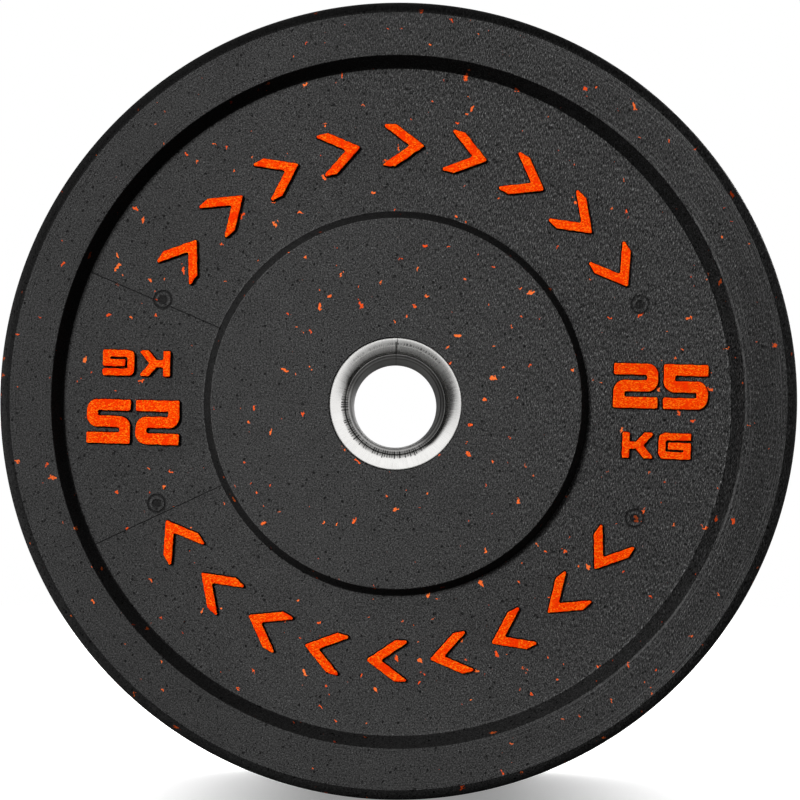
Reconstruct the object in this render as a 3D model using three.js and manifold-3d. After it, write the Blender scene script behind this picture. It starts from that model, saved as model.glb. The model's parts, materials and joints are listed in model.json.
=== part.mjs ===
// A crumb-rubber bumper plate for a barbell with 50 mm sleeves, standing upright on its tread.
// Lengths are in millimetres. +Z is up, Y is the plate's axis and the front face looks along -Y.
// The origin is the plate's centre, halfway between its two faces.
import * as THREE from "three";
import { mergeVertices } from "three/addons/utils/BufferGeometryUtils.js";
import Module from "manifold-3d";

const wasm = await Module();
wasm.setup();

// Rubber plate. A lean is how far a recess wall slopes over its height.
const plateDiameter = 450;
const plateThickness = 110;
const treadRound = 6.7;
const rimWidth = 23.7;
const recessDepth = 10;
const recessWallLean = 5.5;
const hubDiameter = 208.4;
const hubWallLean = 4.6;
const footRound = 2.5;

// Steel insert: a tube, a flared collar over each end of it, and two anchor rings round its middle
const boreDiameter = 50.6;
const tubeWall = 3;
const tubeChamfer = 1.5;
const flangeThickness = 3;
const flangeBand = 0.8;
const flangeSink = 0.3;
const lipRound = 0.6;
const bellWidth = 7.7;
const bellDepth = 6;
const neckWall = 3;
const neckLap = 9;
const anchorWidth = 23.4;
const anchorThickness = 4;
const anchorSpacing = 44;
const anchorHoleDiameter = 12;
const anchorHoles = 8;

// Gap between rubber and steel, and between one steel piece and the next
const fitGap = 0.3;

// Raised marks on both faces: the weight twice, and two arcs of chevrons
const markHeight = 2.5;
const chevronsPerArc = 9;
const chevronPitch = THREE.MathUtils.degToRad(14.2);
// How far the marks stand turned clockwise, seen from the front: the plate has rolled that far
const plateRoll = THREE.MathUtils.degToRad(1.6);
// Run of the K's arms for each millimetre of their rise
const unitArmLean = 0.85;
// The marks' sizes in the plane of the face, as shares of the recess floor's width
const markShares = {
  numeralWidth: 0.3113,
  numeralHeight: 0.3138,
  numeralStroke: 0.0797,
  numeralCorner: 0.0785,
  numeralSpace: 0.037,
  unitWidth: 0.2267,
  unitHeight: 0.1831,
  unitStroke: 0.0511,
  unitCorner: 0.045,
  unitArmEnd: 0.0735,
  unitSpace: 0.0274,
  unitShift: -0.0156,
  lineSpace: 0.168,
  chevronWidth: 0.311,
  chevronHeight: 0.294,
  chevronArm: 0.107,
  chevronInset: 0.04,
};

// Sides of each turned shape, and steps along each kind of curve
const plateSides = 60;
const insertSides = 48;
const holeSides = 12;
const treadSteps = 4;
const footSteps = 2;
const bellSteps = 6;
const cornerSteps = 3;

// Worked out from the sizes above
const plateRadius = plateDiameter / 2;
const faceY = plateThickness / 2;
const floorY = faceY - recessDepth;
const rimInner = plateRadius - treadRound - rimWidth;
const floorOuter = rimInner - recessWallLean;
const hubRadius = hubDiameter / 2;
const floorInner = hubRadius + hubWallLean;
const floorMiddle = (floorOuter + floorInner) / 2;
const floorWidth = floorOuter - floorInner;
const boreRadius = boreDiameter / 2;
const tubeRadius = boreRadius + tubeWall;
const neckInner = tubeRadius + fitGap;
const neckOuter = neckInner + neckWall;
const bandInner = neckInner + bellWidth;
const flangeRadius = bandInner + flangeBand;
const flangeY = faceY - flangeSink;
const neckEndY = flangeY - bellDepth - neckLap;
const tubeEndY = flangeY - bellDepth - fitGap;
const anchorRadius = neckInner + anchorWidth;
const anchorHoleRadius = neckInner + anchorWidth / 2;

const mark = Object.fromEntries(
  Object.entries(markShares).map(([name, share]) => [name, share * floorWidth]),
);

const rubber = { color: 0x2b2b2b, roughness: 0.85, metalness: 0 };
const markRubber = { color: 0xff5a10, roughness: 0.7, metalness: 0 };
const steel = { color: 0xc4c6c8, roughness: 0.3, metalness: 1 };
const mildSteel = { color: 0x8d8f92, roughness: 0.5, metalness: 1 };

// Points of an outline whose corners are [x, y], or [x, y, radius, steps] where they are rounded
function roundedOutline(corners) {
  return corners.flatMap(([x, y, radius = 0, steps = 1], i) => {
    const corner = new THREE.Vector2(x, y);
    if (radius === 0) {
      return [corner];
    }
    const [before, after] = [corners.at(i - 1), corners[(i + 1) % corners.length]].map(
      (next) => new THREE.Vector2(next[0], next[1]).sub(corner).normalize(),
    );
    const halfAngle = Math.acos(THREE.MathUtils.clamp(before.dot(after), -1, 1)) / 2;
    const middle = before.clone().add(after).normalize();
    const centre = corner.clone().addScaledVector(middle, radius / Math.sin(halfAngle));
    const start = corner.clone().addScaledVector(before, radius / Math.tan(halfAngle));
    const turn = (Math.PI - 2 * halfAngle) * -Math.sign(before.cross(after));
    return Array.from({ length: steps + 1 }, (_, step) =>
      start.clone().rotateAround(centre, (turn * step) / steps),
    );
  });
}

// A ring turned about Y from a closed outline of [radius, y] corners, listed anticlockwise.
// Its radii are those of its flats, and a flat faces up, down, left and right.
function turned(points, sides) {
  const outline = points.map((p) => new THREE.Vector2(p.x / Math.cos(Math.PI / sides), p.y));
  return new THREE.LatheGeometry([...outline, outline[0]], sides, Math.PI / sides);
}

function toSolid(geometry) {
  const plain = geometry.clone();
  plain.deleteAttribute("normal");
  plain.deleteAttribute("uv");
  const merged = mergeVertices(plain);
  return new wasm.Manifold(
    new wasm.Mesh({
      numProp: 3,
      vertProperties: new Float32Array(merged.attributes.position.array),
      triVerts: new Uint32Array(merged.index.array),
    }),
  );
}

function fromSolid(solid) {
  const { vertProperties, triVerts } = solid.getMesh();
  const geometry = new THREE.BufferGeometry();
  geometry.setAttribute("position", new THREE.BufferAttribute(vertProperties, 3));
  geometry.setIndex(new THREE.BufferAttribute(triVerts, 1));
  geometry.computeVertexNormals();
  return geometry;
}

function piece(name, geometry, finish) {
  const mesh = new THREE.Mesh(geometry, new THREE.MeshStandardMaterial(finish));
  mesh.name = name;
  return mesh;
}

// Round bars along Y on the circle of the anchor rings' holes
function barsInHoles(diameter, length, middleY) {
  const bar = new THREE.CylinderGeometry(diameter / 2, diameter / 2, length, holeSides);
  return Array.from({ length: anchorHoles }, (_, i) => {
    const angle = (i * 2 * Math.PI) / anchorHoles;
    const x = anchorHoleRadius * Math.cos(angle);
    const z = anchorHoleRadius * Math.sin(angle);
    return toSolid(bar.clone().translate(x, middleY, z));
  });
}

function ring(innerRadius, outerRadius, thickness, middleY) {
  const low = middleY - thickness / 2;
  const high = middleY + thickness / 2;
  const corners = [[innerRadius, low], [outerRadius, low], [outerRadius, high], [innerRadius, high]];
  return toSolid(turned(roundedOutline(corners), insertSides));
}

// The plate's outline from tread to bore on its +Y half: the rounded tread edge, the rim, the
// recess between two sloping walls, the hub face and the stepped seat that holds a collar
const halfPlate = [
  [plateRadius, faceY, treadRound, treadSteps],
  [rimInner, faceY],
  [floorOuter, floorY, footRound, footSteps],
  [floorInner, floorY, footRound, footSteps],
  [hubRadius, faceY],
  [flangeRadius + fitGap, faceY],
  [flangeRadius + fitGap, flangeY - flangeThickness - fitGap],
  [neckOuter + fitGap, flangeY - flangeThickness - fitGap],
  [neckOuter + fitGap, neckEndY - fitGap],
  [tubeRadius + fitGap, neckEndY - fitGap],
];

const mirrored = (corners) => corners.map(([r, y, ...round]) => [r, -y, ...round]).reverse();

// The rubber keeps a groove round each anchor ring, crossed by the pillars that fill its holes
function rubberBody() {
  const outline = roundedOutline([...mirrored(halfPlate), ...halfPlate]);
  let body = toSolid(turned(outline, plateSides));
  for (const middleY of [-anchorSpacing / 2, anchorSpacing / 2]) {
    const width = anchorThickness + 2 * fitGap;
    const pillars = barsInHoles(anchorHoleDiameter - 2 * fitGap, 2 * width, middleY);
    const groove = ring(boreRadius, anchorRadius + fitGap, width, middleY);
    body = body.subtract(pillars.reduce((rest, pillar) => rest.subtract(pillar), groove));
  }
  return fromSolid(body);
}

// A plain tube whose bore is chamfered at both ends
function hubTube() {
  const half = [
    [tubeRadius, tubeEndY],
    [boreRadius + tubeChamfer, tubeEndY],
    [boreRadius, tubeEndY - tubeChamfer],
  ];
  return turned(roundedOutline([...mirrored(half), ...half]), insertSides);
}

// The +Y collar: a flange with a rounded lip. Its face curves in from there like the mouth of a
// bell, a quarter ellipse, and goes on as a straight neck round the end of the tube.
function flareCollar() {
  const bellY = flangeY - bellDepth;
  const bell = new THREE.EllipseCurve(bandInner, bellY, bellWidth, bellDepth, Math.PI / 2, Math.PI);
  const back = roundedOutline([
    [neckInner, neckEndY],
    [neckOuter, neckEndY],
    [neckOuter, flangeY - flangeThickness],
    [flangeRadius, flangeY - flangeThickness],
    [flangeRadius, flangeY, lipRound, cornerSteps],
    [bandInner, flangeY],
  ]);
  return turned([...back.slice(0, -1), ...bell.getPoints(bellSteps)], insertSides);
}

// A flat ring with a circle of holes, which holds the tube fast in the rubber
function anchorRing(middleY) {
  const holes = barsInHoles(anchorHoleDiameter, 2 * anchorThickness, middleY);
  const plain = ring(neckInner, anchorRadius, anchorThickness, middleY);
  return fromSolid(holes.reduce((rest, hole) => rest.subtract(hole), plain));
}

// Outlines of the marks, anticlockwise from their lower left corner, in their own width and
// height. Bars and the slots between them share the height of the 2, the 5 and the G.
function twoCorners() {
  const [w, h, s, round] = [mark.numeralWidth, mark.numeralHeight, mark.numeralStroke, mark.numeralCorner];
  const slot = (h - 3 * s) / 2;
  return [
    [0, 0],
    [w, 0],
    [w, s],
    [s, s],
    [s, s + slot],
    [w, s + slot, round, cornerSteps],
    [w, h, round, cornerSteps],
    [0, h],
    [0, h - s],
    [w - s, h - s],
    [w - s, h - s - slot],
    [0, h - s - slot, round, cornerSteps],
  ];
}

// The 5 is the 2 turned over top to bottom.
function fiveCorners() {
  return twoCorners().map(([x, y, ...round]) => [x, mark.numeralHeight - y, ...round]).reverse();
}

function kCorners() {
  const [w, h, s] = [mark.unitWidth, mark.unitHeight, mark.unitStroke];
  const waist = h / 2;
  const crotch = w - waist * unitArmLean;
  const joint = w - mark.unitArmEnd - (waist - s / 2) * unitArmLean;
  return [
    [0, 0],
    [s, 0],
    [s, waist - s / 2],
    [joint, waist - s / 2],
    [w - mark.unitArmEnd, 0],
    [w, 0],
    [crotch, waist],
    [w, h],
    [w - mark.unitArmEnd, h],
    [joint, waist + s / 2],
    [s, waist + s / 2],
    [s, h],
    [0, h],
  ];
}

function gCorners() {
  const [w, h, s, round] = [mark.unitWidth, mark.unitHeight, mark.unitStroke, mark.unitCorner];
  const slot = (h - 3 * s) / 2;
  return [
    [0, 0, round, cornerSteps],
    [w, 0],
    [w, h - s - slot],
    [s + slot, h - s - slot],
    [s + slot, s + slot],
    [w - s, s + slot],
    [w - s, s],
    [s, s],
    [s, h - s],
    [w, h - s],
    [w, h],
    [0, h, round, cornerSteps],
  ];
}

function chevronCorners() {
  const [w, h, arm] = [mark.chevronWidth, mark.chevronHeight, mark.chevronArm];
  return [[0, 0], [arm, 0], [w, h / 2], [arm, h], [0, h], [w - arm, h / 2]];
}

// A mark as a slab on the XY plane, with the middle of its outline at x, y
function slab(corners, x, y) {
  const points = roundedOutline(corners);
  const box = new THREE.Box2().setFromPoints(points);
  const middle = box.getCenter(new THREE.Vector2());
  const shape = new THREE.Shape(points);
  const options = { depth: markHeight, bevelEnabled: false };
  return new THREE.ExtrudeGeometry(shape, options).translate(x - middle.x, y - middle.y, 0);
}

// The weight as it stands right of the hub: numerals above, unit below, in the recess's middle
function weightMarks(face, side) {
  const top = (mark.numeralHeight + mark.lineSpace + mark.unitHeight) / 2;
  const numeralY = top - mark.numeralHeight / 2;
  const unitY = top - mark.numeralHeight - mark.lineSpace - mark.unitHeight / 2;
  const numeralX = (mark.numeralWidth + mark.numeralSpace) / 2;
  const unitX = (mark.unitWidth + mark.unitSpace) / 2;
  const unitMiddle = floorMiddle + mark.unitShift;
  const glyphs = {
    numeral_2: slab(twoCorners(), floorMiddle - numeralX, numeralY),
    numeral_5: slab(fiveCorners(), floorMiddle + numeralX, numeralY),
    letter_k: slab(kCorners(), unitMiddle - unitX, unitY),
    letter_g: slab(gCorners(), unitMiddle + unitX, unitY),
  };
  const group = new THREE.Group();
  for (const [glyph, geometry] of Object.entries(glyphs)) {
    group.add(piece(`${face}_${glyph}_${side}`, geometry, markRubber));
  }
  return group;
}

// An arc of chevrons over the hub, evenly spaced from left to right and pointing clockwise
function chevronArc(face, place) {
  const group = new THREE.Group();
  for (let i = 0; i < chevronsPerArc; i++) {
    const chevron = slab(chevronCorners(), 0, floorMiddle - mark.chevronInset);
    chevron.rotateZ(((chevronsPerArc - 1) / 2 - i) * chevronPitch);
    group.add(piece(`${face}_chevron_${place}_${i + 1}`, chevron, markRubber));
  }
  return group;
}

// All marks of one face, standing on the recess floor. The left and lower ones are the right and
// upper ones after half a turn about the plate's axis.
function faceMarks(face) {
  const marks = new THREE.Group();
  marks.add(weightMarks(face, "right"), chevronArc(face, "upper"));
  const turnedMarks = new THREE.Group();
  turnedMarks.add(weightMarks(face, "left"), chevronArc(face, "lower"));
  turnedMarks.rotation.z = Math.PI;
  marks.add(turnedMarks);
  marks.rotation.x = Math.PI / 2;
  marks.position.y = -floorY;
  const upright = new THREE.Group();
  upright.add(marks);
  return upright;
}

const plate = new THREE.Group();
plate.add(
  piece("rubber_body", rubberBody(), rubber),
  piece("hub_tube", hubTube(), steel),
  piece("front_anchor_ring", anchorRing(-anchorSpacing / 2), mildSteel),
  piece("rear_anchor_ring", anchorRing(anchorSpacing / 2), mildSteel),
);

const frontCollar = piece("front_flare_collar", flareCollar(), steel);
frontCollar.rotation.z = Math.PI;
const rearCollar = piece("rear_flare_collar", flareCollar(), steel);
plate.add(frontCollar, rearCollar);

const rearMarks = faceMarks("rear");
rearMarks.rotation.z = Math.PI;
const marks = new THREE.Group();
marks.add(faceMarks("front"), rearMarks);
marks.rotation.y = plateRoll;
plate.add(marks);

export default plate;
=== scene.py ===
# %% [markdown]
# # A crumb-rubber bumper plate with a steel insert
#
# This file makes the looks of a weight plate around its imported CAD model. The scene is in metres.
# +Z is up, Y is the plate's axis and the front face looks along -Y. Each new piece is a surface
# worked out with numpy, and each finish is a tree of shader nodes written as sums.

# %% Load the frame
import json

import bpy
import numpy as np
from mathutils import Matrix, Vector

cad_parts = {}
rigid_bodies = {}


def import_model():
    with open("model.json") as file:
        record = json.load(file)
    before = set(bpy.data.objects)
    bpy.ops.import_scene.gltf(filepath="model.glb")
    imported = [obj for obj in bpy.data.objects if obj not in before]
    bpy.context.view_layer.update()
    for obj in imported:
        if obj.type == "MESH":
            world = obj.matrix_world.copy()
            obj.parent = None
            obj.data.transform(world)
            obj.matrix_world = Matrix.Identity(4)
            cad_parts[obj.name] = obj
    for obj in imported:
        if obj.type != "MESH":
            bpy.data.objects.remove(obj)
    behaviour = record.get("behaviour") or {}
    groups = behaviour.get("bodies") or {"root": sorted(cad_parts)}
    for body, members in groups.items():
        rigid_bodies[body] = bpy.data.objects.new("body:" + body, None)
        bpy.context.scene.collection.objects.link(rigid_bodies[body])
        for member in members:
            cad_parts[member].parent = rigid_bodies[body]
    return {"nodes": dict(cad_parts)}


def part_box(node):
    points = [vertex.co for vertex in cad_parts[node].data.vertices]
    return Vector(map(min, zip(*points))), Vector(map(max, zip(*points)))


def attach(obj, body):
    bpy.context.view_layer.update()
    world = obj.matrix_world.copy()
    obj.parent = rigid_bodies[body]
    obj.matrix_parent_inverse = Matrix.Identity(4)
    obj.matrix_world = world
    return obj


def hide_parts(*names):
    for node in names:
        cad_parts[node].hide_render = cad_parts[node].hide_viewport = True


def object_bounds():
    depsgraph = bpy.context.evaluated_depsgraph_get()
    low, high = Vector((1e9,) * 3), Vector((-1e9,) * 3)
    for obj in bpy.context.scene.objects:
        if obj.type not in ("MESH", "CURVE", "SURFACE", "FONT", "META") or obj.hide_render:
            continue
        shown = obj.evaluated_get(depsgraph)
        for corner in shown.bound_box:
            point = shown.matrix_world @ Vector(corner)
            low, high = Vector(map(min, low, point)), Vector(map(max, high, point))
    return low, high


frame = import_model()
cad_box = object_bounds()
print("CAD nodes:", len(frame["nodes"]))
print("CAD box:", [round(v, 4) for corner in cad_box for v in corner])

MM = 0.001
scene = bpy.context.scene

# %% [markdown]
# ## Sizes
#
# The new pieces have the sizes of the CAD nodes they stand for, so that a bar, a sleeve or a
# stack of plates meets the same faces. They are listed in millimetres, because that is how a
# plate is drawn, and the meshes are scaled to metres at the end of their making. A tread 450 mm
# across is the standard of the sport.
#
# A steel collar sits in the rubber in two steps, its lip in the seat and its shoulder in a deeper
# one, and its neck goes round the end of the tube. There is 0.3 mm to spare all round.

# %% Distances from the axis, in millimetres
TREAD = 225.0
RIM_INNER = 194.6
FLOOR_OUTER = 189.1
FLOOR_INNER = 108.8
FLOOR_MIDDLE = (FLOOR_OUTER + FLOOR_INNER) / 2
HUB = 104.2
RING_GROOVE = 52.3
SEAT = 37.4
LIP = 37.1
SHOULDER_SEAT = 31.9
SHOULDER = 31.6
NECK = 28.6
TUBE = 28.3
BORE = 25.3

# %% Distances from the middle plane, in millimetres
FACE = 55.0
LIP_FACE = 54.7
COLLAR_BACK = 51.7
SEAT_FLOOR = 51.4
CREASE = 48.7
TUBE_END = 48.4
FLOOR = 45.0
COLLAR_END = 39.7
SHOULDER_FLOOR = 39.4
GROOVE_OUTER = 24.3
GROOVE_INNER = 19.7

# %% Radius of the tread's rounded edges, in millimetres
TREAD_ROUND = 6.7

# %% The same body in the CAD
low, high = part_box("rubber_body")
cad_across = round(high.x - low.x, 4)
cad_thick = round(high.y - low.y, 4)
print("rubber body in the CAD:", cad_across, "across,", cad_thick, "thick")

# %% [markdown]
# ## Outlines
#
# A moulded or turned thing has no sharp edges. Its outline could be drawn as a curve and
# bevelled, but a list of corners, each with its own radius, says the same in a few numbers.
# Every corner becomes a short arc. Guard points just beyond the ends of an arc keep the flat
# faces next to it flat when the mesh is shaded smooth.


# %% Corners to outline
def arc_points(before, corner, after, radius, steps):
    """Points of the arc that touches both edges of a corner.

    The arc's centre lies on the line that halves the corner, radius / sin(half angle) away,
    and its points turn evenly from one edge to the other.
    """
    a = (before - corner) / np.linalg.norm(before - corner)
    b = (after - corner) / np.linalg.norm(after - corner)
    half = np.arccos(np.clip(a @ b, -1, 1)) / 2
    middle = (a + b) / np.linalg.norm(a + b)
    centre = corner + middle * radius / np.sin(half)
    arm = corner + a * radius / np.tan(half) - centre
    turn = (np.pi - 2 * half) * -np.sign(a[0] * b[1] - a[1] * b[0])
    angle = turn * np.linspace(0, 1, steps + 1)
    x = arm[0] * np.cos(angle) - arm[1] * np.sin(angle)
    y = arm[0] * np.sin(angle) + arm[1] * np.cos(angle)
    return centre + np.stack([x, y], axis=1)


def rounded(corners, guard=0.0):
    """An outline as an array of points, from corners (x, y, radius, steps) in order."""
    flat = np.array([corner[:2] for corner in corners], float)
    parts = []
    for i, (_, _, radius, steps) in enumerate(corners):
        following = flat[(i + 1) % len(flat)]
        arc = arc_points(flat[i - 1], flat[i], following, radius, steps)
        if guard > 0:
            into = flat[i - 1] - arc[0]
            out = following - arc[-1]
            first = arc[:1] + guard * into / np.linalg.norm(into)
            last = arc[-1:] + guard * out / np.linalg.norm(out)
            arc = np.concatenate([first, arc, last])
        parts.append(arc)
    return np.concatenate(parts)


def both_halves(half):
    """The corners of one half of a plate's outline, and the same mirrored to the other side."""
    return half + [(r, -y, radius, steps) for r, y, radius, steps in half[::-1]]


# %% [markdown]
# ## Meshes
#
# A grid of points becomes a mesh by joining each point with its neighbours. On a ring both
# directions of the grid close on themselves. Which way round the faces run decides which side is
# outside, so the volume is worked out first: if it comes out negative, every face is turned.


# %% Grid to mesh
def signed_volume(points, quads):
    """A sixth of the sum of a . (b x c) over the two triangles of each face."""
    a, b, c, d = (points[quads[:, k]] for k in range(4))
    return float((a * np.cross(b, c) + a * np.cross(c, d)).sum() / 6)


def ring_quads(rows, columns):
    """The faces of a grid that closes on itself in both directions."""
    i, j = np.meshgrid(np.arange(rows), np.arange(columns), indexing="ij")
    k, m = (i + 1) % rows, (j + 1) % columns
    corners = [i * columns + j, i * columns + m, k * columns + m, k * columns + j]
    return np.stack(corners, axis=-1).reshape(-1, 4)


def turned(outline, sides):
    """A closed outline carried round the Y axis: x = r cos t, y = y, z = r sin t."""
    t = np.linspace(0, 2 * np.pi, sides, endpoint=False)
    r = outline[:, :1]
    y = np.broadcast_to(outline[:, 1:], (len(outline), sides))
    points = np.stack([r * np.cos(t), y, r * np.sin(t)], axis=-1).reshape(-1, 3)
    quads = ring_quads(len(outline), sides)
    if signed_volume(points, quads) < 0:
        quads = quads[:, ::-1]
    return points, quads


def shown(name, points, faces, node):
    """A smooth mesh of points in millimetres, which rides on the plate in place of a CAD node."""
    mesh = bpy.data.meshes.new(name)
    mesh.from_pydata((points * MM).tolist(), [], [tuple(face) for face in faces])
    mesh.shade_smooth()
    thing = bpy.data.objects.new(name, mesh)
    scene.collection.objects.link(thing)
    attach(thing, "root")
    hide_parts(node)
    return thing


# %% [markdown]
# ## Shader sums
#
# A finish is easier to read as a sum than as a tangle of nodes. `Wire` wraps one socket, and an
# expression on wires adds the Math nodes for it. `Finish` is the material: its `node` method
# adds any other node, and `surface` ends the tree.


# %% A small language for shader nodes
class Wire:
    """One output socket, which can be used in sums."""

    def __init__(self, finish, socket):
        self.finish = finish
        self.socket = socket

    def maths(self, operation, *others):
        inputs = dict(enumerate((self, *others)))
        return self.finish.node("Math", {"operation": operation}, inputs)

    def __add__(self, other):
        return self.maths("ADD", other)

    def __mul__(self, other):
        return self.maths("MULTIPLY", other)

    def __sub__(self, other):
        return self.maths("SUBTRACT", other)

    def __rsub__(self, other):
        return self * -1 + other

    def __truediv__(self, other):
        return self.maths("DIVIDE", other)

    def __pow__(self, other):
        return self.maths("POWER", other)

    def __abs__(self):
        return self.maths("ABSOLUTE")

    __radd__ = __add__
    __rmul__ = __mul__

    def highest(self, other):
        return self.maths("MAXIMUM", other)

    def lowest(self, other):
        return self.maths("MINIMUM", other)

    def rise(self, start, end):
        """0 below start, 1 above end, and a smooth rise between. It falls if end < start."""
        if end < start:
            return 1 - self.rise(end, start)
        inputs = {"Value": self, "From Min": start, "From Max": end}
        return self.finish.node("MapRange", {"interpolation_type": "SMOOTHSTEP"}, inputs)

    def line(self, place, width):
        """1 within half a width of a place, and 0 away from it."""
        return abs(self - place).rise(width * 0.8, width * 0.2)


class Finish:
    """A material, or the world, whose node tree is built by calls."""

    def __init__(self, name, owner=None):
        self.owner = owner or bpy.data.materials.new(name)
        self.owner.use_nodes = True
        self.tree = self.owner.node_tree
        self.tree.nodes.clear()

    def node(self, kind, settings=None, inputs=None, output=0):
        """Adds a node, sets it up, links its inputs, and gives one of its outputs."""
        made = self.tree.nodes.new("ShaderNode" + kind)
        for name, value in (settings or {}).items():
            setattr(made, name, value)
        for name, value in (inputs or {}).items():
            if isinstance(value, Wire):
                self.tree.links.new(value.socket, made.inputs[name])
            else:
                made.inputs[name].default_value = value
        return Wire(self, made.outputs[output]) if made.outputs else None

    def place(self):
        """The point on the surface, in the plate's frame."""
        return self.node("TexCoord", output="Object")

    def split(self, vector):
        """A vector's three numbers."""
        made = self.node("SeparateXYZ", inputs={0: vector})
        return [Wire(self, socket) for socket in made.socket.node.outputs]

    def joined(self, x, y, z):
        return self.node("CombineXYZ", inputs={0: x, 1: y, 2: z})

    def vector(self, operation, a, b=(0, 0, 0), output=0):
        return self.node("VectorMath", {"operation": operation}, {0: a, 1: b}, output)

    def scaled(self, vector, factor):
        return self.node("VectorMath", {"operation": "SCALE"}, {0: vector, "Scale": factor})

    def noise(self, vector, size, detail=2.0, roughness=0.5, output="Fac"):
        """Cloudy noise whose blobs are about `size` across."""
        inputs = {"Vector": vector, "Scale": 1 / size, "Detail": detail, "Roughness": roughness}
        return self.node("TexNoise", inputs=inputs, output=output)

    def cells(self, vector, size, output="Distance"):
        """Cells about `size` apart: the distance to the nearest centre, its place or its colour."""
        return self.node("TexVoronoi", inputs={"Vector": vector, "Scale": 1 / size}, output=output)

    def blend(self, factor, a, b):
        """Colour a where the factor is 0 and colour b where it is 1."""
        return self.node("Mix", {"data_type": "RGBA"}, {0: factor, 6: a, 7: b}, output=2)

    def tint(self, colour, factor):
        """A colour made darker or lighter by a factor."""
        grey = self.joined(factor, factor, factor)
        settings = {"data_type": "RGBA", "blend_type": "MULTIPLY"}
        return self.node("Mix", settings, {0: 1.0, 6: colour, 7: grey}, output=2)

    def surface(self, height=None, **sockets):
        """A Principled shader with these sockets, and a bump from a height in metres."""
        names = {name.replace("_", " ").title(): value for name, value in sockets.items()}
        names = {name.replace("Ior", "IOR"): value for name, value in names.items()}
        if height is not None:
            inputs = {"Height": height, "Distance": 1.0, "Strength": 1.0}
            names["Normal"] = self.node("Bump", inputs=inputs)
        shader = self.node("BsdfPrincipled", inputs=names)
        self.node("OutputMaterial", inputs={"Surface": shader})
        return self.owner


def screen(red, green, blue):
    """A colour picked on a screen, 0 to 255, as the light that a shader works in."""
    share = np.array([red, green, blue]) / 255
    light = np.where(share <= 0.04045, share / 12.92, ((share + 0.055) / 1.055) ** 2.4)
    return (*light.tolist(), 1.0)


# %% [markdown]
# ## Crumb rubber
#
# The plate is pressed from crumbs of old tyre rubber and a binder. Close up, the skin is a fine
# grain with small dark pits, a few pale specks, and bent flecks of orange rubber that were mixed
# in. An image could show all this, but a shader that works from the place in space needs no
# unwrapping, has no seams, and runs on round the edges.
#
# A fleck is a flat chip of rubber that the surface cuts through. Space is divided into cells, and
# each cell may hold one chip: a disc at the cell's centre, turned and sized by random numbers
# that belong to the cell. The surface cuts most discs across, which gives short strokes.


# %% Chips of rubber
def chips(f, place, spacing, smallest, largest, flatness, share, offset):
    """The mask of flat chips, and a random shade for each.

    The distance from a cell's centre is squashed along a random axis, so that all points within
    a radius of it form a disc that is `flatness` times as wide as it is thick.
    """
    moved = f.vector("ADD", place, offset)
    centre = f.cells(moved, spacing, output="Position")
    away = f.vector("SUBTRACT", moved, centre)
    random = f.node("TexWhiteNoise", inputs={"Vector": centre}, output="Color")
    chance, size, shade = f.split(random)
    turn = f.cells(moved, spacing, output="Color")
    axis = f.vector("NORMALIZE", f.vector("SUBTRACT", turn, (0.5, 0.5, 0.5)))
    along = f.vector("DOT_PRODUCT", away, axis, output="Value")
    length = f.vector("LENGTH", away, output="Value")
    distance = (length * length + (flatness**2 - 1) * along * along) ** 0.5
    radius = (smallest + (largest - smallest) * size * size) * (share - chance).rise(0, 0.02)
    return (radius - distance).rise(-0.15 * MM, 0.15 * MM), shade


# %% [markdown]
# The grain is noise at several sizes: broad clouds, patches, and crumbs that are about as large
# as a grain of sand. The crumbs colour the skin and stand up from it, so that a lamp from the
# side picks them out. Towards the right and the top the grain turns into short wrinkles that run
# nearly upright and stand higher, and there the colour carries painted light and shade: the
# crumbs are painted with much stronger contrast, as if a lamp grazed them, and the skin is painted
# a little darker.

# %% Sizes in the rubber, in metres
CLOUD = 90 * MM
PATCH = 15 * MM
CRUMB = 0.82 * MM
WRINKLE = 1.1 * MM
PIT_SPACING = 5.6 * MM
SMALL_PIT_SPACING = 2.7 * MM
SPECK_SPACING = 10 * MM
CHIP_SPACING = 10 * MM
CHIP_SIZES = (0.8 * MM, 2.4 * MM)
DOT_SPACING = 8.5 * MM
DOT_SIZES = (0.35 * MM, 0.8 * MM)


# %% Crumb rubber: colour and height
def rubber_flecks(f, place, crumbs):
    """The mask of the orange flecks and the smaller dots, and their colour."""
    bend = f.vector("SUBTRACT", f.noise(place, 1.7 * MM, 1.0, output="Color"), (0.5, 0.5, 0.5))
    bent = f.vector("ADD", place, f.scaled(bend, 3.4 * MM))
    crowd = 0.3 + 0.55 * f.noise(place, 34 * MM, 1.0).rise(0.38, 0.62)
    flecks, shade = chips(f, bent, CHIP_SPACING, *CHIP_SIZES, 2.4, crowd, (0, 0, 0))
    dots, _ = chips(f, bent, DOT_SPACING, *DOT_SIZES, 1.3, 0.6, (0.7, 0.9, 0.4))
    orange = f.blend(shade, screen(236, 76, 18), screen(255, 120, 52))
    return flecks.highest(dots), f.tint(orange, 0.75 + 0.5 * crumbs)


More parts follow.
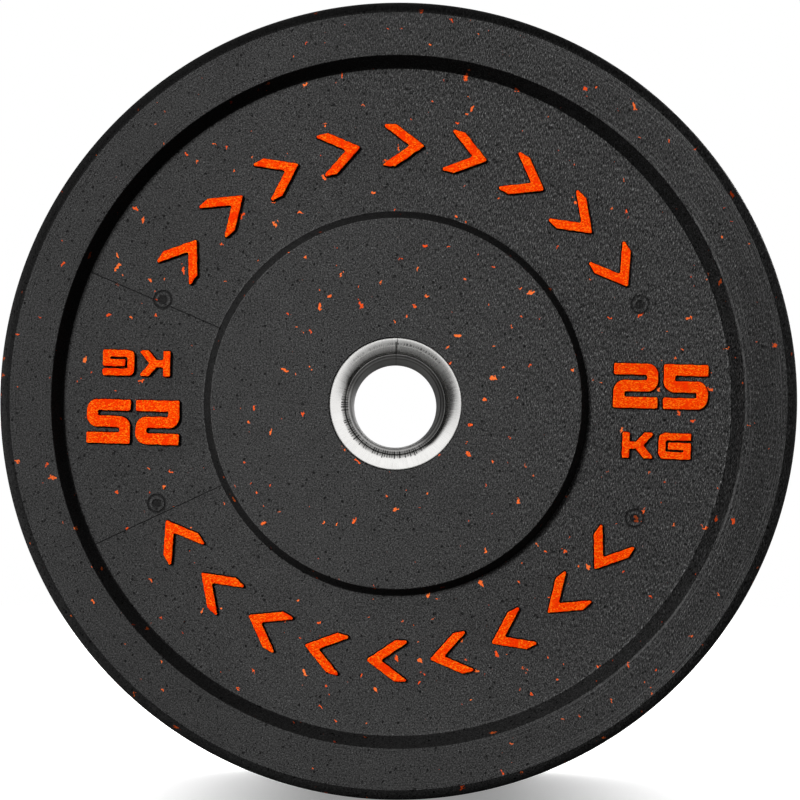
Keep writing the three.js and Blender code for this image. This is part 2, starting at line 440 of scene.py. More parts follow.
def crumb_rubber(f, place, px, py, pz, relief):
    """Colour and height of the plain rubber skin. Its grain is as strong as the relief says."""
    # coarse is 1 towards the right and the top, where the wrinkles are and where the colour carries
    # painted light and shade
    coarse = (px + 0.35 * pz).rise(-90 * MM, 130 * MM)
    clouds = f.noise(place, CLOUD, 3.0)
    patches = f.noise(place, PATCH, 3.0)
    crumbs = f.noise(place, CRUMB, 2.0, 0.7)
    wrinkle_place = f.joined(px * 2.6 - pz * 0.45, px * 0.1 + pz * 0.55, py * 1.2)
    wrinkles = f.noise(wrinkle_place, WRINKLE, 2.0, 0.6)
    grain = crumbs + coarse * 0.7 * (wrinkles - crumbs)

    moved = f.vector("ADD", place, (1.3, 2.9, 0.7))
    moved_again = f.vector("ADD", place, (3.1, 1.7, 2.3))
    pits = f.cells(place, PIT_SPACING).rise(0.17, 0.08)
    small_pits = f.cells(moved, SMALL_PIT_SPACING).rise(0.2, 0.11)
    specks = f.cells(moved_again, SPECK_SPACING).rise(0.06, 0.025)
    hollows = pits.highest(small_pits * 0.8)

    # Painted light and shade: towards the right and the top the crumbs' contrast is painted much
    # stronger and the skin is painted a little darker
    contrast = (2.8 + 4.1 * coarse) * relief
    tone = (0.60 + 0.2 * clouds + 0.3 * patches) * (2 * grain) ** contrast
    tone = tone * (1 - 0.1 * coarse) * (1 - 0.8 * hollows) + 1.2 * specks
    skin = f.tint(screen(58, 58, 58), tone)
    flecks, orange = rubber_flecks(f, place, crumbs)
    height = (0.4 + 0.5 * coarse) * relief * MM * grain - 0.4 * MM * hollows
    return f.blend(flecks, skin, orange), height


# %% [markdown]
# The faces carry marks of the mould: faint rings on the rim from turning it, thin radial lines
# where its parts met on the recess floor, and four round witness marks over its screws. They
# are too shallow to be worth mesh points, so the bump and the colour carry them.
#
# On the right side the rings and the rim's edges are painted paler, as painted highlights where
# light catches them, and fine turning lines fill the rim's outer part there, painted pale in the
# same way. The rim is a shade darker than the hub, and painted darker still at the far right, as
# painted shade. The left of every flat face is painted a little darker too, as painted shade.

# %% Where the mould left its marks, in millimetres
RIM_RINGS = (196.0, 197.9, 199.8, 213.6, 215.3, 217.2)
TURNING_PITCH = 1.35
SCREWS = ((-132.0, 59.5), (138.0, 56.0), (-136.0, -56.5), (135.5, -64.5))
SEAMS = ((-1, -25.0, 1.0), (-1, 23.5, 1.0), (1, 24.0, 0.4), (1, -23.0, 0.4))


# %% Marks of the mould
def mould_marks(px, pz):
    """1 in the grooves over the mould's screws and along its seams, and 0 beside them.

    A screw is listed by its x and z, and a seam by its side, its slope in degrees and its
    strength.
    """
    marks = 0
    for x, z in SCREWS:
        across = px - x * MM
        up = pz - z * MM
        away = (across * across + up * up) ** 0.5
        groove = away.line(4.9 * MM, 1.2 * MM) + away.rise(3.0 * MM, 2.2 * MM)
        marks = groove + marks
    for side, degrees, strength in SEAMS:
        slope = side * np.tan(np.radians(degrees))
        across = pz - slope * px
        there = (px * side).rise(0, 1 * MM)
        marks = across.line(0, 0.5 * MM) * there * strength + marks
    return marks.lowest(1.0)


def rim_lines_and_highlights(f, radius, px, py, pz):
    """The rings that are cut into the rim, and its lines and edges painted paler than the skin on
    the right, as painted highlights.
    """
    on_face = abs(py).rise((FACE - 0.4) * MM, (FACE - 0.1) * MM)
    short_breaks = f.noise(f.joined(px * 0.1, radius * 0.5, pz * 0.1), 1.2 * MM, 2.0)
    broken = short_breaks.rise(0.35, 0.6)
    rings = sum(radius.line(ring * MM, 0.45 * MM) for ring in RIM_RINGS) * on_face * broken

    long_breaks = f.noise(f.joined(px * 0.04, radius * 0.6, pz * 0.04), 1.2 * MM, 2.0)
    turning = (radius / (TURNING_PITCH * MM) * 2 * np.pi).maths("SINE").rise(0.3, 0.95)
    turning = turning * radius.rise(206 * MM, 212 * MM) * on_face * long_breaks.rise(0.42, 0.58)
    turning = 0.65 * turning * px.rise(70 * MM, 170 * MM) * pz.rise(-230 * MM, -130 * MM)

    edges = radius.line((RIM_INNER + 0.9) * MM, 0.7 * MM)
    edges = (edges + radius.line((TREAD - TREAD_ROUND) * MM, 0.7 * MM)) * on_face
    # pale is painted highlight: the rings, the turning lines and the rim's edges painted paler on
    # the right
    pale = (rings * px.rise(-40 * MM, 190 * MM)).highest(turning)
    pale = pale.highest(edges * broken * px.rise(50 * MM, 180 * MM))
    return rings, pale


# %% Finish of the flat faces
def flat_face_finish():
    f = Finish("crumb_rubber_face")
    place = f.place()
    px, py, pz = f.split(place)
    radius = (px * px + pz * pz) ** 0.5
    base, height = crumb_rubber(f, place, px, py, pz, 1.0)

    rings, pale = rim_lines_and_highlights(f, radius, px, py, pz)
    # The pale lines are painted highlights
    base = f.blend(0.42 * pale, base, screen(112, 112, 112))

    on_floor = radius.rise((FLOOR_INNER - 4) * MM, FLOOR_INNER * MM)
    on_floor = on_floor * radius.rise((FLOOR_OUTER + 4) * MM, FLOOR_OUTER * MM)
    moulded = mould_marks(px, pz) * on_floor

    # Painted shade: the left of every flat face and the far right of the rim are painted darker
    left = px.rise(-60 * MM, -190 * MM)
    shade_far_right = px.rise(165 * MM, 215 * MM)
    on_rim = radius.rise((RIM_INNER - 1) * MM, RIM_INNER * MM)
    tone = (1 - 0.15 * left) * (1 - on_rim * (0.12 + 0.3 * shade_far_right))
    base = f.tint(base, (1 - 0.75 * moulded) * tone)
    height = height + 0.15 * MM * rings - 0.6 * MM * moulded
    return f.surface(height, base_color=base, roughness=0.75, specular_ior_level=0.12)


rubber_face = flat_face_finish()
print("flat faces:", len(rubber_face.node_tree.nodes), "nodes")

# %% [markdown]
# The sloping walls and the rounded edges are painted much darker than the faces, partly for their
# smoother skin from the polished mould and partly as painted shade. The top of the rounded edge
# and the upper part of the recess walls are painted darker still, as painted shade. The tread
# between its rounded edges is nearly as grey as the faces. All of it is still crumb rubber, with a
# few flecks.


# %% Finish of the walls and the tread
def wall_finish():
    f = Finish("crumb_rubber_wall")
    place = f.place()
    px, py, pz = f.split(place)
    radius = (px * px + pz * pz) ** 0.5
    base, height = crumb_rubber(f, place, px, py, pz, 0.8)

    # The low tint of the walls is partly painted shade, and the tops of the rounded edge and recess
    # walls are painted darker as painted shade
    on_tread = radius.rise((TREAD - 2) * MM, TREAD * MM) * abs(py).rise(47 * MM, 41 * MM)
    on_edge = radius.rise((TREAD - 7) * MM, (TREAD - 5) * MM) * (1 - on_tread)
    shaded_edge_top = on_edge * (pz - 0.3 * px).rise(20 * MM, 200 * MM)
    inside_rim = radius.rise((RIM_INNER + 1) * MM, RIM_INNER * MM)
    shaded_recess_top = inside_rim * (pz + 0.3 * px).rise(60 * MM, 180 * MM)
    tone = (0.28 + 0.5 * on_tread) * (1 - 0.66 * shaded_edge_top - 0.42 * shaded_recess_top)
    base = f.tint(base, tone)
    return f.surface(height, base_color=base, roughness=0.7, specular_ior_level=0.02)


rubber_wall = wall_finish()
print("walls and tread:", len(rubber_wall.node_tree.nodes), "nodes")

# %% [markdown]
# ## The rubber body
#
# The body is a solid of revolution, so its outline is carried round the axis. The outline runs
# from the tread over the rounded edge, the rim, the recess and the hub face into the seat of the
# steel collar, through the bore, and back on the other side. Inside, two grooves hold the anchor
# rings. A corner is listed with its rounding and the number of steps in it. Faces that lie flat
# on the rim, the recess floor or the hub take the face finish, and all others that of the walls.

# %% The rubber body
EDGE = (0.9, 5)
FLOOR_EDGE = (2.5, 6)
INSIDE = (0.2, 2)
BODY_SIDES = 512
half_body = [
    (TREAD, FACE, TREAD_ROUND, 12),
    (RIM_INNER, FACE, *EDGE),
    (FLOOR_OUTER, FLOOR, *FLOOR_EDGE),
    (FLOOR_INNER, FLOOR, *FLOOR_EDGE),
    (HUB, FACE, *EDGE),
    (SEAT, FACE, 0.4, 3),
    (SEAT, SEAT_FLOOR, *INSIDE),
    (SHOULDER_SEAT, SEAT_FLOOR, *INSIDE),
    (SHOULDER_SEAT, SHOULDER_FLOOR, *INSIDE),
    (NECK, SHOULDER_FLOOR, *INSIDE),
    (NECK, GROOVE_OUTER, *INSIDE),
    (RING_GROOVE, GROOVE_OUTER, *INSIDE),
    (RING_GROOVE, GROOVE_INNER, *INSIDE),
    (NECK, GROOVE_INNER, *INSIDE),
]
outline = rounded(both_halves(half_body), guard=0.12)
points, quads = turned(outline, BODY_SIDES)
body = shown("rubber_body_skin", points, quads, "rubber_body")

middles = points[quads].mean(axis=1)
from_axis = np.hypot(middles[:, 0], middles[:, 2])
from_middle = np.abs(middles[:, 1])
rim_outer = TREAD - TREAD_ROUND + 0.2
flat_rim = (from_middle > FACE - 0.1) & (from_axis > RIM_INNER) & (from_axis < rim_outer)
flat_hub = (from_middle > FACE - 0.3) & (from_axis < HUB)
flat_floor = (from_middle > FLOOR - 1) & (from_middle < FLOOR + 0.3)
flat_floor &= (from_axis > FLOOR_INNER - 1) & (from_axis < FLOOR_OUTER + 1)
is_wall = ~(flat_rim | flat_hub | flat_floor)
body.data.materials.append(rubber_face)
body.data.materials.append(rubber_wall)
body.data.polygons.foreach_set("material_index", is_wall.astype(np.int32))
print("rubber body:", len(quads), "faces,", int(is_wall.sum()), "of them walls")

# %% [markdown]
# ## Raised marks
#
# The marks are orange rubber, pressed into the mould before the black crumb. Each is an outline
# with rounded corners, carried up from the recess floor: it leans in a little on the way, as a
# mould needs, and turns over a small round at the top. An outline that is drawn in by some
# distance keeps its arcs if every edge moves in by that distance, every outer corner's radius
# shrinks by it, and every inner corner's radius grows.


# %% Outlines drawn in
def inset(corners, distance):
    """The corners of an anticlockwise outline with each edge moved inwards by a distance.

    Both edges of a corner move along their normals m and n, so the corner moves by
    distance * (m + n) / (1 + m . n).
    """
    flat = np.array([corner[:2] for corner in corners], float)
    before = flat - np.roll(flat, 1, axis=0)
    after = np.roll(flat, -1, axis=0) - flat
    before /= np.linalg.norm(before, axis=1, keepdims=True)
    after /= np.linalg.norm(after, axis=1, keepdims=True)
    m = np.stack([-before[:, 1], before[:, 0]], axis=1)
    n = np.stack([-after[:, 1], after[:, 0]], axis=1)
    moved = flat + distance * (m + n) / (1 + (m * n).sum(axis=1, keepdims=True))
    outer = before[:, 0] * after[:, 1] - before[:, 1] * after[:, 0] > 0
    radii = np.array([corner[2] for corner in corners]) + np.where(outer, -distance, distance)
    steps = [corner[3] for corner in corners]
    return [(x, y, max(r, 0.05), s) for (x, y), r, s in zip(moved, radii, steps)]


def divided(points, counts):
    """Each edge of a closed outline cut into its own number of equal parts."""
    ahead = np.roll(points, -1, axis=0)
    share = np.concatenate([np.arange(n) / n for n in counts])[:, None]
    starts = np.repeat(points, counts, axis=0)
    ends = np.repeat(ahead, counts, axis=0)
    return starts * (1 - share) + ends * share


# %% [markdown]
# The edges of a pressed mark are never quite straight. A sum of sine waves along the outline
# moves its points in and out by a tenth of a millimetre or so. Only whole numbers of waves fit
# round the outline, so it still closes.

# %% Surface of a mark
MARK_HEIGHT = 2.5
MARK_LEAN = 0.5
MARK_ROUND = 0.45
POINT_SPACING = 1.1
WAVES = range(9, 30)
WAVE_SIZE = 0.019


def mark_surface(corners, seed):
    """Points (x, y, height) and faces of a mark, from its base ring to its top.

    Each ring is the outline drawn in by a distance at a height: first up the leaning side,
    then over a quarter circle.
    """
    over = np.linspace(0, np.pi / 2, 5)
    insets = [-MARK_LEAN, -MARK_LEAN / 2, *(MARK_ROUND * (1 - np.cos(over)))]
    heights = [0.0, MARK_HEIGHT / 2, *(MARK_HEIGHT - MARK_ROUND * (1 - np.sin(over)))]
    rings = [rounded(inset(corners, distance)) for distance in insets]
    lengths = np.linalg.norm(np.roll(rings[0], -1, axis=0) - rings[0], axis=1)
    counts = np.maximum(1, np.round(lengths / POINT_SPACING).astype(int))
    rings = [divided(ring, counts) for ring in rings]

    total = len(rings[0])
    random = np.random.default_rng(seed)
    along = np.linspace(0, 2 * np.pi, total, endpoint=False)
    waves = np.zeros(total)
    for k in WAVES:
        size = random.normal(0, WAVE_SIZE)
        waves += size * np.sin(k * along + random.uniform(0, 2 * np.pi))
    ahead = np.roll(rings[0], -1, axis=0) - np.roll(rings[0], 1, axis=0)
    outwards = np.stack([ahead[:, 1], -ahead[:, 0]], axis=1)
    outwards *= waves[:, None] / np.linalg.norm(outwards, axis=1, keepdims=True)

    layers = []
    for ring, height in zip(rings, heights):
        layers.append(np.column_stack([ring + outwards, np.full(total, height)]))
    i, j = np.meshgrid(np.arange(len(rings) - 1), np.arange(total), indexing="ij")
    k = (j + 1) % total
    sides = np.stack([i * total + j, i * total + k, (i + 1) * total + k, (i + 1) * total + j], -1)
    base = tuple(range(total - 1, -1, -1))
    top = tuple(range((len(rings) - 1) * total, len(rings) * total))
    return np.concatenate(layers), [*map(tuple, sides.reshape(-1, 4).tolist()), base, top]


# %% [markdown]
# The shapes are plain block forms: a 5 is a 2 turned over, and the unit is a K and a G. Each is
# listed as corners in its own width `w` and height `h`, anticlockwise from its lower left, and
# `s` is the width of its strokes. A corner is large, with the radius `r`, where the block form
# turns a bar into the next one, and small everywhere else.

# %% Shapes of the marks, in millimetres
SMALL_CORNER = (0.9, 4)
LARGE_STEPS = 8
numeral = {"w": 25.0, "h": 25.2, "s": 6.4, "r": 6.3}
unit = {"w": 18.2, "h": 14.7, "s": 4.1}
chevron = {"w": 25.0, "h": 23.6, "arm": 8.6}


def block(points, large=(), radius=0.0):
    """Corners from points, of which those numbered in `large` have the large radius."""
    return [
        (x, y, *((radius, LARGE_STEPS) if i in large else SMALL_CORNER))
        for i, (x, y) in enumerate(points)
    ]


def two(w, h, s, r):
    slot = (h - 3 * s) / 2
    low_bar = [(0, 0), (w, 0), (w, s), (s, s), (s, s + slot)]
    upper = [(w, s + slot), (w, h), (0, h), (0, h - s), (w - s, h - s), (w - s, h - s - slot)]
    return block([*low_bar, *upper, (0, h - s - slot)], large=(5, 6, 11), radius=r)


def five(w, h, s, r):
    return [(x, h - y, radius, steps) for x, y, radius, steps in two(w, h, s, r)][::-1]


def letter_k(w, h, s, arm, lean):
    waist = h / 2
    joint = w - arm - (waist - s / 2) * lean
    lower = [(0, 0), (s, 0), (s, waist - s / 2), (joint, waist - s / 2), (w - arm, 0), (w, 0)]
    upper = [(w, h), (w - arm, h), (joint, waist + s / 2), (s, waist + s / 2), (s, h), (0, h)]
    return block([*lower, (w - waist * lean, waist), *upper])


def letter_g(w, h, s, r):
    slot = (h - 3 * s) / 2
    lower = [(0, 0), (w, 0), (w, h - s - slot), (s + slot, h - s - slot), (s + slot, s + slot)]
    upper = [(w - s, s + slot), (w - s, s), (s, s), (s, h - s), (w, h - s), (w, h), (0, h)]
    return block([*lower, *upper], large=(0, 11), radius=r)


def chevron_shape(w, h, arm):
    return block([(0, 0), (arm, 0), (w, h / 2), (arm, h), (0, h), (w - arm, h / 2)])


# %% [markdown]
# The marks' tops show a fine orange grain with paler and redder crumbs and a few deeper patches.
# Their sides are painted near black, darker than the crumb that closes round them: partly black
# rubber and partly painted shade.


# %% Finish of the marks
def mark_finish():
    f = Finish("mark_rubber")
    place = f.place()
    px, py, pz = f.split(place)
    crumbs = f.noise(place, 0.8 * MM, 2.0, 0.6)
    fine = f.noise(f.joined(px * 0.7, py, pz * 1.5), 0.75 * MM, 1.0)
    deep = f.noise(place, 8 * MM, 2.0).rise(0.56, 0.64)
    red = f.blend(crumbs.rise(0.48, 0.34), screen(246, 60, 0), screen(222, 38, 0))
    pale = fine.rise(0.54, 0.61) * (0.9 - 0.5 * deep)
    top_colour = f.blend(pale, red, screen(255, 124, 18))
    top_colour = f.blend(0.65 * deep, top_colour, screen(236, 44, 0))
    mark_top = FLOOR + MARK_HEIGHT
    # The sides below the top are painted near black, partly as painted shade round the marks
    top_share = abs(py).rise((mark_top - 0.5) * MM, (mark_top - 0.35) * MM)
    return f.surface(
        (0.5 * crumbs + 0.12 * fine) * MM,
        base_color=f.blend(top_share, screen(14, 13, 13), top_colour),
        roughness=0.65,
        specular_ior_level=0.012,
    )


mark_rubber = mark_finish()
print("marks' rubber:", len(mark_rubber.node_tree.nodes), "nodes")

# %% [markdown]
# The marks are placed on a face as seen from its own front, and then carried to that face. The
# plate in hand has rolled a little on its tread, clockwise as seen from the front, and all the
# marks have turned with it. Gaps and shifts are in millimetres.

# %% Place the marks
PLATE_ROLL = np.radians(1.6)
CHEVRONS = 9
CHEVRON_PITCH = np.radians(14.2)
CHEVRON_SHIFT = -3.2
NUMERAL_GAP = 3.0
UNIT_GAP = 2.2
LINE_GAP = 13.5
UNIT_SHIFT = -1.25


def place_mark(name, corners, centre, turn, front, seed):
    """A mark whose outline has its middle at a centre, turned round the axis by an angle."""
    flat = np.array([corner[:2] for corner in corners])
    local, faces = mark_surface(corners, seed)
    x, z = (local[:, :2] - (flat.min(axis=0) + flat.max(axis=0)) / 2 + centre).T
    across = x * np.cos(turn) - z * np.sin(turn)
    up = x * np.sin(turn) + z * np.cos(turn)
    side = -1 if front else 1
    across = across * -side
    rolled_x = across * np.cos(PLATE_ROLL) + up * np.sin(PLATE_ROLL)
    rolled_z = up * np.cos(PLATE_ROLL) - across * np.sin(PLATE_ROLL)
    placed = np.column_stack([rolled_x, side * (FLOOR + local[:, 2]), rolled_z])
    thing = shown(name + "_mark", placed, faces, name)
    thing.data.materials.append(mark_rubber)
    thing.data.polygons[len(faces) - 1].use_smooth = False
    return thing


numeral_z = (LINE_GAP + unit["h"]) / 2
unit_z = -(LINE_GAP + numeral["h"]) / 2
numeral_x = (numeral["w"] + NUMERAL_GAP) / 2
unit_x = (unit["w"] + UNIT_GAP) / 2
unit_middle = FLOOR_MIDDLE + UNIT_SHIFT
glyphs = {
    "numeral_2": (two(**numeral), (FLOOR_MIDDLE - numeral_x, numeral_z)),
    "numeral_5": (five(**numeral), (FLOOR_MIDDLE + numeral_x, numeral_z)),
    "letter_k": (letter_k(**unit, arm=5.9, lean=0.85), (unit_middle - unit_x, unit_z)),
    "letter_g": (letter_g(**unit, r=3.6), (unit_middle + unit_x, unit_z)),
}
marks = []
for face in ("front", "rear"):
    for half_turn, side, arc in ((0.0, "right", "upper"), (np.pi, "left", "lower")):
        for glyph, (corners, centre) in glyphs.items():
            name = f"{face}_{glyph}_{side}"
            marks.append(place_mark(name, corners, centre, half_turn, face == "front", len(marks)))
        for i in range(CHEVRONS):
            turn = half_turn + ((CHEVRONS - 1) / 2 - i) * CHEVRON_PITCH
            centre = (0, FLOOR_MIDDLE + CHEVRON_SHIFT)
            name = f"{face}_chevron_{arc}_{i + 1}"
            shape = chevron_shape(**chevron)
            marks.append(place_mark(name, shape, centre, turn, face == "front", len(marks)))
print("marks:", len(marks))

# %% [markdown]
# ## Steel
#
# The insert is turned and then wiped with coarse cloth, so its colour has fine streaks that run
# along the radius. A streak is noise that changes with the direction from the axis and hardly
# along the radius, so the noise reads the direction.
#
# Soot from welding crosses the crease where a collar meets the tube, in short ticks that are
# longest at the lower left. The bell is painted darker near its neck, less at the lower left and
# the top, the crease and a ring round the bore's edge are painted darker, the upper right of the
# band inside the lip is painted darker, and a line at the neck's edge is painted dark at the lower
# left: all of this is painted shade and painted dark reflection. At the top a thin seam with a
# small ridge beside it shows where the collar's strip was closed, and a turned line crosses it,
# with nicks just outside the line. The tube is duller than the collars, and the inside of the bore
# is painted a little darker, as painted shade.


# %% Marks on the insert
def on_bell(radius):
    """1 on the mouth of a collar, which lies outside its neck, and 0 inside it."""
    return radius.rise((NECK + 0.1) * MM, (NECK + 0.4) * MM)


def weld_soot(radius, below, ticks, lengths):
    """Soot across the crease, in ticks that reach furthest out at the lower left."""
    reach = (NECK - 0.2 + (0.6 + 3.4 * below) * lengths) * MM - radius
    soot = reach.rise(-0.15 * MM, 0.15 * MM) * radius.rise((TUBE - 2.1) * MM, (TUBE - 1.1) * MM)
    return soot * ticks * (0.15 + 0.75 * below)


def strip_seam(px, pz, radius):
    """The seam at the top of the insert, and the ridge beside it."""
    above = pz.rise(0, 1 * MM)
    seam = px.line(0.4 * MM, 0.9 * MM) * above * radius.rise(35.4 * MM, 34.4 * MM)
    ridge = px.line(1.6 * MM, 1.0 * MM) * above * on_bell(radius)
    return seam * (0.35 + 0.45 * on_bell(radius)), ridge


def lathe_nicks(px, radius, ticks, lengths):
    """Nicks outside the turned line, which are strongest to the right of the seam."""
    nicks = (33.4 * MM + 1.8 * MM * lengths - radius).rise(-0.1 * MM, 0.1 * MM)
    nicks = nicks * radius.rise(33.2 * MM, 33.5 * MM) * ticks * lengths.rise(0.38, 0.5)
    return nicks * (0.4 + 0.6 * px.rise(-4 * MM, 2 * MM))


# %% Finish of the insert
def steel_finish():
    f = Finish("insert_steel")
    place = f.place()
    px, _, pz = f.split(place)
    radius = (px * px + pz * pz) ** 0.5
    right = px / radius
    up = pz / radius
    below = (right * -0.61 - up * 0.79).rise(0.1, 0.5)
    at_top = up.rise(0.55, 0.75) * on_bell(radius)

    direction = f.joined(right, radius * 3.0, up)
    streaks = f.noise(direction, 0.022, 2.0, 0.7)
    lengths = f.noise(direction, 0.05, 1.0)
    clouds = f.noise(place, 9 * MM, 3.0)
    angle = pz.maths("ARCTAN2", px)
    beat = (angle * 130 + 12 * f.noise(direction, 0.12, 1.0)).maths("SINE")
    ticks = beat.rise(-0.5, 0.6) * lengths.rise(0.3, 0.6)

    soot = weld_soot(radius, below, ticks, lengths)
    seam, ridge = strip_seam(px, pz, radius)
    nicks = lathe_nicks(px, radius, ticks, lengths) * at_top
    turned_line = radius.line(32.8 * MM, 0.6 * MM) * at_top
    # Painted shade: the bell is painted darker near its neck, less at the lower left and the top
    painted_shade_near_neck = ((NECK + 3.2 - 2.8 * below) * MM - radius).rise(0, 2.2 * MM)
    painted_shade_near_neck = painted_shade_near_neck * (1 - 0.6 * below - 0.3 * up.rise(0.3, 0.8))

    # Painted shade: inside the bore, a ring at its edge, the crease, the upper right of the band
    # inside the lip and a line at the neck's edge at the lower left are painted darker
    bore_shade = radius.rise((BORE + 1.2) * MM, (BORE + 0.1) * MM)
    bore_edge_shade = radius.line((BORE + 0.5) * MM, 0.5 * MM)
    crease = radius.line((TUBE - 1.0) * MM, 1.0 * MM)
    dark_neck_line = radius.line((NECK - 0.6) * MM, 1.8 * MM)
    shaded_band = radius.rise(33.6 * MM, 34.4 * MM) * radius.rise(36.6 * MM, 36.0 * MM)
    tone = 0.93 + 0.4 * (streaks - 0.5) + 0.12 * (clouds - 0.5)
    tone = tone * (1 - 0.72 * painted_shade_near_neck - 0.1 * bore_shade) * (1 - 0.4 * bore_edge_shade)
    tone = tone * (1 - 0.2 * shaded_band * (0.6 * right + 0.8 * up).rise(0, 0.8))
    tone = tone * (1 - 0.55 * below * dark_neck_line)
    tone = tone * (1 - crease * (0.6 - 0.35 * below))
    base = f.tint(screen(248, 247, 245), tone.lowest(1.0))
    base = f.blend(soot.highest(seam).highest(0.8 * nicks), base, screen(26, 25, 25))

    on_tube = radius.rise((TUBE + 0.3) * MM, (TUBE - 0.3) * MM)
    near_neck = radius.rise(31 * MM, 29.5 * MM) * on_bell(radius)
    at_lip = radius.rise((LIP - 0.8) * MM, (LIP - 0.5) * MM)
    rough = 0.27 + 0.4 * (streaks - 0.45).highest(0) + 0.25 * soot + 0.28 * on_tube
    rough = rough + 0.3 * below * near_neck
    rough = rough.highest(0.5 * ridge).highest(0.75 * turned_line).highest(0.65 * at_lip)
    height = 0.03 * MM * streaks - 0.04 * MM * soot + 0.2 * MM * ridge
    return f.surface(height, base_color=base, roughness=rough, metallic=1.0)


insert_steel = steel_finish()
print("insert steel:", len(insert_steel.node_tree.nodes), "nodes")

# %% [markdown]
# The anchor rings lie hidden in the rubber, so they have the plain skin of rolled steel.


# %% Finish of the anchor rings
def mild_steel_finish():
    f = Finish("anchor_steel")
    mill = f.noise(f.place(), 6 * MM, 4.0, 0.65)
    base = f.blend(mill.rise(0.3, 0.7), screen(88, 86, 84), screen(132, 131, 130))
    return f.surface(0.05 * MM * mill, base_color=base, roughness=0.45 + 0.25 * mill, metallic=1.0)


anchor_steel = mild_steel_finish()
print("anchor steel:", len(anchor_steel.node_tree.nodes), "nodes")

# %% [markdown]
# A collar is the mouth of a bell: a rounded lip, most of a quarter ellipse that turns into the
# bore, and a straight neck round the end of the tube. The last corner of its list only shows the
# lip's round which way to turn, so the points it gives are dropped and the ellipse follows. The
# tube is plain, and its ends are rounded over towards the bore.

# %% Collars, tube and anchor rings
STEEL_SIDES = 384
BELL_ACROSS = 9.59
BELL_DEEP = 6.12
BELL_START = np.radians(101.4)
BELL_POINTS = 29
bell_turn = np.linspace(BELL_START, np.pi, BELL_POINTS)
bell_x = NECK + BELL_ACROSS * (1 + np.cos(bell_turn))
bell_y = CREASE + BELL_DEEP * np.sin(bell_turn)
collar_back = [
    (NECK, COLLAR_END, 0.3, 3),
    (SHOULDER, COLLAR_END, 0.3, 3),
    (SHOULDER, COLLAR_BACK, 0.5, 3),
    (LIP, COLLAR_BACK, 0.3, 3),
    (LIP, LIP_FACE, 0.6, 6),
]
collar_outline = rounded([*collar_back, (NECK, LIP_FACE, 0.05, 1)], guard=0.05)[:-4]
collar_outline = np.concatenate([collar_outline, np.column_stack([bell_x, bell_y])])
for face, side in (("front", -1), ("rear", 1)):
    points, quads = turned(collar_outline * (1, side), STEEL_SIDES)
    collar = shown(f"{face}_collar_turned", points, quads, f"{face}_flare_collar")
    collar.data.materials.append(insert_steel)

tube_half = [
    (TUBE, TUBE_END, 0.2, 3),
    (TUBE - 0.8, TUBE_END - 0.2, 0.9, 4),
    (BORE, TUBE_END - 2.1, 1.2, 5),
]
points, quads = turned(rounded(both_halves(tube_half), guard=0.05), STEEL_SIDES)
tube = shown("hub_tube_turned", points, quads, "hub_tube")
tube.data.materials.append(insert_steel)

for node in ("front_anchor_ring", "rear_anchor_ring"):
    ring = frame["nodes"][node]
    ring.data.materials.clear()
    ring.data.materials.append(anchor_steel)
print("collar outline:", len(collar_outline), "points")

# %% [markdown]
# ## Studio
#
# The plate stands on a white floor before a white background. The floor has to look white and
# still show where the plate stands. So two tall lamps behind the plate, one on each side, light
# nothing but the floor, which gives the soft dark patch under the tread. To the camera the floor
# also glows a little, which keeps that patch from going black, and far off it fades to plain
# white.
#
# To the rubber the floor is dark, so that it throws no light up the walls of the recess. The
# steel mirrors a floor whose glow is painted: it grows the further the floor lies in front of the
# plate, as painted shade for the plate's shadow near it, and it is weaker on the left.

# %% Floor
FLOOR_HALF = 1.3
GLOW = 0.29
ground = cad_box[0].z
corners = [(-FLOOR_HALF, -FLOOR_HALF), (FLOOR_HALF, -FLOOR_HALF)]
corners += [(FLOOR_HALF, FLOOR_HALF), (-FLOOR_HALF, FLOOR_HALF)]
mesh = bpy.data.meshes.new("studio_floor")
mesh.from_pydata([(x, y, ground) for x, y in corners], [], [(0, 1, 2, 3)])
floor = bpy.data.objects.new("studio_floor", mesh)
scene.collection.objects.link(floor)

f = Finish("studio_floor")
light_path = f.node("LightPath").socket.node.outputs
is_camera = Wire(f, light_path["Is Camera Ray"])
is_glossy = Wire(f, light_path["Is Glossy Ray"])
white = f.node("BsdfDiffuse", inputs={"Color": (0.95, 0.95, 0.95, 1)})
glow = f.node("Emission", inputs={"Color": (1, 1, 1, 1), "Strength": GLOW})
lit = f.node("AddShader", inputs={0: white, 1: glow})
plain = f.node("Emission", inputs={"Color": (1, 1, 1, 1), "Strength": 1.0})
away = f.vector("LENGTH", f.place(), output="Value")
lit = f.node("MixShader", inputs={0: away.rise(0.7, 1.2), 1: lit, 2: plain})
floor_x, floor_y, _ = f.split(f.place())
before = floor_y * -1
# The glow seen in the steel is painted weaker near the plate, as painted shade, and weaker on the
# left
painted_glow_in_steel = (0.19 * before.rise(-0.05, 0.05)).highest(0.65 * before)
painted_glow_in_steel = painted_glow_in_steel * (1 + 1.5 * floor_x).highest(0).lowest(1.1)
dark = f.node("BsdfDiffuse", inputs={"Color": (0.02, 0.02, 0.02, 1)})
seen_in_steel = f.node("MixShader", inputs={0: painted_glow_in_steel * is_glossy, 1: dark, 2: plain})
mixed = f.node("MixShader", inputs={0: is_camera, 1: seen_in_steel, 2: lit})
f.node("OutputMaterial", inputs={"Surface": mixed})
floor.data.materials.append(f.owner)
print("floor at z =", round(ground, 4))

# %% [markdown]
# Rubber hardly mirrors anything, but steel is only as good as the room in it. The room is bright
# to the right and above, and dark to the left and below, with a soft edge between the two. A
# bell mouth looks inwards all round, so its left and lower parts mirror the bright side. Some
# light also comes from behind the plate, more of it on the right.

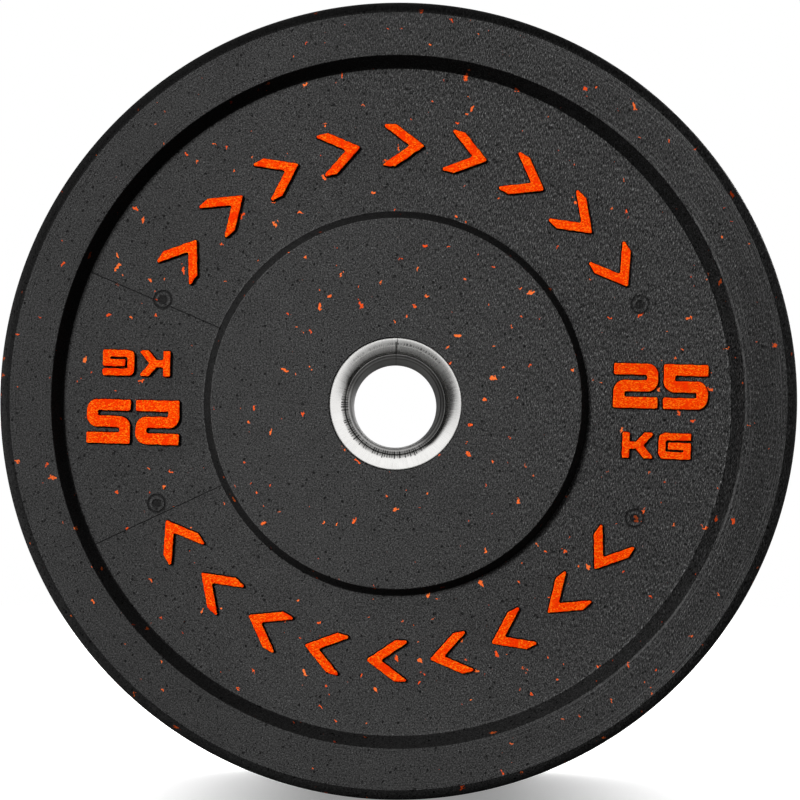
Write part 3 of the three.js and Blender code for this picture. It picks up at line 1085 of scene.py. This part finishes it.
# %% World
ROOM = (0.45, -0.35, 0.82)
ROOM_BRIGHT = 1.04
ROOM_DARK = 0.045
ROOM_BEHIND = 0.42
AMBIENT = 0.03

world = bpy.data.worlds.new("studio")
scene.world = world
f = Finish("studio", world)
way = f.node("TexCoord", output="Generated")
towards = f.vector("DOT_PRODUCT", way, ROOM, output="Value")
wx, wy, wz = f.split(way)
room = ROOM_DARK + (ROOM_BRIGHT - ROOM_DARK) * towards.rise(-0.07, 0.17)
room = room + ROOM_BEHIND * wy.rise(0.2, 0.9) * (1 + wx + 0.5 * wz)
light_path = f.node("LightPath").socket.node.outputs
is_camera = Wire(f, light_path["Is Camera Ray"])
is_glossy = Wire(f, light_path["Is Glossy Ray"])
level = AMBIENT + is_glossy * (room - AMBIENT)
level = level * (1 - is_camera) + is_camera
background = f.node("Background", inputs={"Color": (1, 1, 1, 1), "Strength": level})
f.node("OutputWorld", inputs={"Surface": background})
print("room:", len(f.tree.nodes), "nodes")

# %% [markdown]
# The key lamp is a soft one, up and to the left of the camera, so it throws short shadows to the
# right and down. A raking lamp shines along the front face and picks out its grain. A wall lamp
# on each side lights the tread, and a lamp behind the plate does for the rear face what the key
# does for the front. These five light nothing but the rubber, since the steel mirrors the room
# and the floor has two sky lamps of its own.


# %% Lamps
def lamp(name, place, target, width, height, power):
    """An oblong area lamp at a place, facing a target."""
    data = bpy.data.lights.new(name, "AREA")
    data.shape = "RECTANGLE"
    data.size = width
    data.size_y = height
    data.energy = power
    thing = bpy.data.objects.new(name, data)
    scene.collection.objects.link(thing)
    away = Vector(place) - Vector(target)
    thing.location = place
    thing.rotation_mode = "QUATERNION"
    thing.rotation_quaternion = away.to_track_quat("Z", "Y")
    return thing


key = lamp("key", (-2.2, -3.63, 1.31), (0, 0, 0), 0.8, 0.8, 236)
back = lamp("back", (2.2, 3.63, 1.31), (0, 0, 0), 0.8, 0.8, 236)
rake = lamp("rake", (-2.2, -0.28, 0.9), (0, -0.05, 0), 0.5, 0.5, 32)
left_wall = lamp("left_wall", (-2.0, 0.25, -0.25), (-0.2, 0, 0), 0.8, 0.8, 30)
right_wall = lamp("right_wall", (2.0, 0.25, 0.1), (0.2, 0, 0), 0.8, 0.8, 14)
left_sky = lamp("left_sky", (-1.23, 1.03, 2.2), (0, 0, 2.2), 1.2, 4.0, 165)
right_sky = lamp("right_sky", (1.23, 1.03, 2.4), (0, 0, 2.4), 1.2, 4.0, 145)

rubber_pieces = bpy.data.collections.new("rubber_pieces")
stage_pieces = bpy.data.collections.new("stage_pieces")
rubber_pieces.objects.link(body)
for mark in marks:
    rubber_pieces.objects.link(mark)
stage_pieces.objects.link(floor)
for thing in (key, back, rake, left_wall, right_wall):
    thing.light_linking.receiver_collection = rubber_pieces
for thing in (left_sky, right_sky):
    thing.light_linking.receiver_collection = stage_pieces
print("lamps:", len(bpy.data.lights))

# %% [markdown]
# The photograph was taken from about a metre, almost on the plate's axis. Its left marks are a
# little smaller than its right ones, and the hub sits a little low and left in the outline. That
# happens when the camera looks slightly past the plate and the plate is then cut out of the
# corner of the picture. So this camera is turned two degrees down and two to the left, and its
# shift puts the plate back in the frame.

# %% Camera
camera_data = bpy.data.cameras.new("camera")
camera = bpy.data.objects.new("camera", camera_data)
scene.collection.objects.link(camera)
camera.location = (-0.00127, -1.055, -0.01563)
camera.rotation_euler = np.radians((88.1, 0, 2.103))
camera_data.sensor_width = 36
camera_data.lens = 79.97
camera_data.shift_x = 0.0902
camera_data.shift_y = 0.1136
scene.camera = camera
scene.view_settings.view_transform = "Standard"
print("camera at", [round(v, 3) for v in camera.location])
